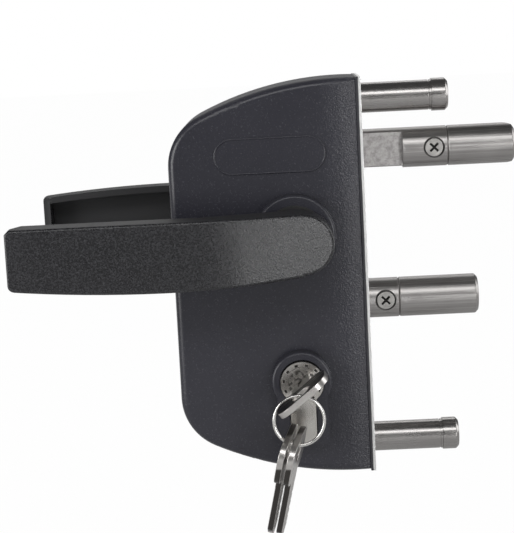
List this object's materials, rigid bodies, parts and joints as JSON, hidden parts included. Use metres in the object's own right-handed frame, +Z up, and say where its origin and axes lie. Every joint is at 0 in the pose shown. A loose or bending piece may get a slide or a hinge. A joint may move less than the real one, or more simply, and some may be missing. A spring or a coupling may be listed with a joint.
{
  "type": "gate lock",
  "caption": "Surface-mounted gate lock: rounded case with lever handles, a bevelled latch, a key-thrown dead bolt, fixing bolts, and a cylinder with a key on a ring.",
  "frame": {"origin": "centre of the face plate's outer face, which lies against the gate tube", "axes": "+X out of the face plate, the way the bolts travel; +Y to the far side of the gate; +Z up"},
  "size_m": [0.1975, 0.1105, 0.1779],
  "materials": {
    "coating": "fine anthracite powder coat",
    "polymer": "fine-grained black",
    "stainless": "turned",
    "zinc": "zinc plated",
    "spring_steel": "plain",
    "nickel": "nickel plated",
    "brass": "plain",
    "nylon": "plain"
  },
  "bodies": {
    "case": {"face_plate": "stainless", "front_cover": "coating", "front_panel": "coating", "rear_cover": "coating", "cover_screws": "zinc", "chassis_front": "zinc", "chassis_rear": "zinc", "chassis_posts": "zinc", "fixing_studs": "stainless", "fixing_nuts": "zinc", "fixing_caps": "stainless", "hub_bush_front": "nylon", "hub_bush_rear": "nylon", "cylinder_body": "nickel", "driver_pins": "brass", "plug_rear": "nickel", "cylinder_screw": "zinc", "spring_stop": "zinc", "latch_spring": "spring_steel", "hub_spring": "spring_steel", "leaf_spring": "spring_steel"},
    "handle_set": {"follower": "zinc", "spindle": "zinc", "front_handle": "polymer", "rear_handle": "polymer", "handle_set_screws": "zinc"},
    "latch_set": {"latch_bolt": "stainless", "latch_tip": "stainless", "latch_lock_screw": "zinc", "latch_guide_pin": "zinc"},
    "dead_bolt_set": {"dead_bolt": "stainless", "dead_tip": "stainless", "dead_lock_screw": "zinc", "dead_guide_pin": "zinc"},
    "key_set": {"plug_front": "nickel", "key_pins": "brass", "cam": "brass", "key": "nickel"},
    "ring_set": {"key_ring": "nickel"},
    "left_spare": {"spare_key_left": "nickel"},
    "right_spare": {"spare_key_right": "nickel"}
  },
  "joints": [
    {"name": "handle_turn", "type": "hinge", "parent": "case", "child": "handle_set", "pos_m": [-0.028, 0, 0.0184], "axis": [0, -1, 0], "range_deg": [0, 38], "stiffness_Nm_per_rad": 1.2, "springref_deg": -45.84, "deforming": ["hub_spring"]},
    {"name": "latch_slide", "type": "slide", "parent": "case", "child": "latch_set", "axis": [-1, 0, 0], "range_m": [0, 0.0202], "deforming": ["latch_spring"]},
    {"name": "key_turn", "type": "hinge", "parent": "case", "child": "key_set", "pos_m": [-0.028, 0, -0.0396], "axis": [0, 1, 0], "range_deg": [0, 49.24]},
    {"name": "dead_slide", "type": "slide", "parent": "case", "child": "dead_bolt_set", "axis": [1, 0, 0], "range_m": [0, 0.0125]},
    {"name": "ring_swing", "type": "hinge", "parent": "key_set", "child": "ring_set", "pos_m": [-0.02986, -0.048, -0.03967], "axis": [0, 1, 0], "range_deg": [0, 10]},
    {"name": "left_spare_swing", "type": "hinge", "parent": "ring_set", "child": "left_spare", "pos_m": [-0.03283, -0.048, -0.0584], "axis": [0.9467, -0.1736, -0.2714], "range_deg": [-45, 10]},
    {"name": "right_spare_swing", "type": "hinge", "parent": "ring_set", "child": "right_spare", "pos_m": [-0.03283, -0.048, -0.0584], "axis": [0.9467, -0.1736, -0.2714], "range_deg": [-45, 10]}
  ],
  "couplings": [
    {"joint": "latch_slide", "follows": "handle_turn", "m_per_rad": 0.0304},
    {"joint": "key_turn", "follows": "dead_slide", "rad_per_m": 68.75}
  ]
}
